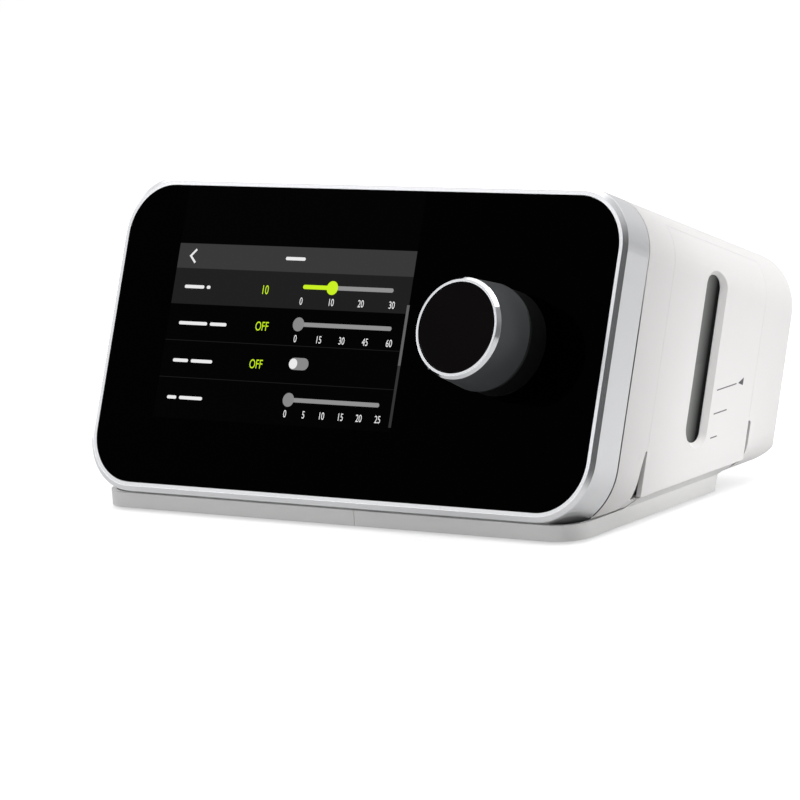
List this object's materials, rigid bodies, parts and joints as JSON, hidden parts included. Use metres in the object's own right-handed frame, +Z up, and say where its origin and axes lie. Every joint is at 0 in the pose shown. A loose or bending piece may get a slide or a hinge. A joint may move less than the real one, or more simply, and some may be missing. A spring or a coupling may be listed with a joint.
{
  "type": "bilevel pap machine",
  "caption": "Bedside bilevel breathing-pressure machine: leaning black glass front with screen and push-turn dial, slide-out humidifier tank, air filter and rear hose port.",
  "frame": {"origin": "middle of the bounding box at table height, under the rubber feet", "axes": "+X to the right seen from the front, +Y to the rear, +Z up; the glass front faces -Y and leans back"},
  "size_m": [0.278, 0.1984, 0.1429],
  "materials": {
    "white_shell": "satin white moulding with a fine sheen",
    "silver_frame": "fine metallic silver paint on plastic",
    "front_glass": "black-backed polished glass with the lit screen behind it",
    "display": "dark display module",
    "grey_bracket": "plain dark moulding",
    "cable": "flexible amber film",
    "circuit_board": "green solder mask",
    "components": "black moulded parts",
    "black_plastic": "satin black",
    "knob_grey": "dark grey satin",
    "chrome_ring": "polished",
    "black_disc": "polished black",
    "steel": "turned and plated",
    "brass_part": "plain",
    "rubber": "matt",
    "light_grey": "plain light grey moulding",
    "base_white": "plain off-white moulding",
    "filter_media": "white felted fibre",
    "foam": "open grey foam",
    "natural_plastic": "unpigmented moulding",
    "aluminium": "die-cast",
    "copper": "enamelled copper windings on a laminated core",
    "heater_film": "bonded heating film",
    "clear_tank": "clear moulding with a grey tint",
    "smoke_lid": "smoke-tinted clear moulding",
    "silicone": "soft moulded silicone",
    "smoke_window": "dark smoke-tinted clear moulding, polished"
  },
  "bodies": {
    "body": {"front_glass": "front_glass", "front_frame": "silver_frame", "lcd_panel": "display", "display_bracket": "grey_bracket", "bracket_screws": "steel", "display_cable": "cable", "main_board": "circuit_board", "board_components": "components", "board_screws": "steel", "speaker": "components", "knob_collar": "black_plastic", "encoder_body": "components", "encoder_nut": "brass_part", "switch_dome": "steel", "housing": "white_shell", "rear_panel": "light_grey", "rear_screws": "steel", "main_base": "base_white", "humidifier_base": "base_white", "base_screws": "steel", "rubber_feet": "rubber", "power_inlet": "black_plastic", "card_socket": "steel", "inlet_duct": "rubber", "blower_case": "light_grey", "blower_lid": "light_grey", "lid_screws": "steel", "muffler_foam": "foam", "scroll_lower": "black_plastic", "scroll_upper": "black_plastic", "motor_stator": "copper", "motor_can": "aluminium", "motor_bearings": "steel", "blower_mounts": "silicone", "blower_duct": "rubber", "pressure_board": "circuit_board", "bay_liner": "light_grey", "outlet_duct": "rubber", "hose_port": "light_grey", "heater_springs": "steel"},
    "rotor": {"encoder_rotor": "natural_plastic"},
    "knob": {"encoder_shaft": "steel", "knob_grip": "knob_grey", "knob_ring": "chrome_ring", "knob_cap": "black_disc"},
    "tank": {"tank_tub": "clear_tank", "tank_lid": "smoke_lid", "tank_seal": "silicone", "tank_plate": "steel", "tank_cover": "white_shell", "tank_window": "smoke_window"},
    "release": {"release_tab": "white_shell"},
    "filter": {"filter_cover": "light_grey", "air_filter": "filter_media"},
    "card": {"memory_card": "components"},
    "fan": {"impeller": "natural_plastic", "motor_shaft": "steel", "motor_magnet": "steel"},
    "heater": {"heater_plate": "aluminium", "heater_element": "heater_film"}
  },
  "joints": [
    {"name": "knob_turn", "type": "hinge", "parent": "body", "child": "rotor", "pos_m": [0.0821, -0.06086, 0.07952], "axis": [0, -0.9272, 0.3746], "continuous": true},
    {"name": "knob_press", "type": "slide", "parent": "rotor", "child": "knob", "axis": [0, 0.9272, -0.3746], "range_m": [0, 0.0005], "stiffness_N_per_m": 6000, "springref_m": -0.0003},
    {"name": "tank_slide", "type": "slide", "parent": "body", "child": "tank", "axis": [1, 0, 0], "range_m": [0, 0.115]},
    {"name": "release_press", "type": "slide", "parent": "body", "child": "release", "axis": [-1, 0, 0], "range_m": [0, 0.002], "stiffness_N_per_m": 2000, "springref_m": -0.001},
    {"name": "filter_pull", "type": "slide", "parent": "body", "child": "filter", "axis": [0, 0.9272, -0.3746], "range_m": [0, 0.03]},
    {"name": "card_slide", "type": "slide", "parent": "body", "child": "card", "axis": [-1, 0, 0], "range_m": [0, 0.022]},
    {"name": "blower_spin", "type": "hinge", "parent": "body", "child": "fan", "pos_m": [-0.068, 0.0103, 0.072], "axis": [0, 0, 1], "continuous": true},
    {"name": "heater_float", "type": "slide", "parent": "body", "child": "heater", "axis": [0, 0, -1], "range_m": [0, 0.001], "stiffness_N_per_m": 4000, "springref_m": -0.001, "deforming": ["heater_springs"]}
  ]
}
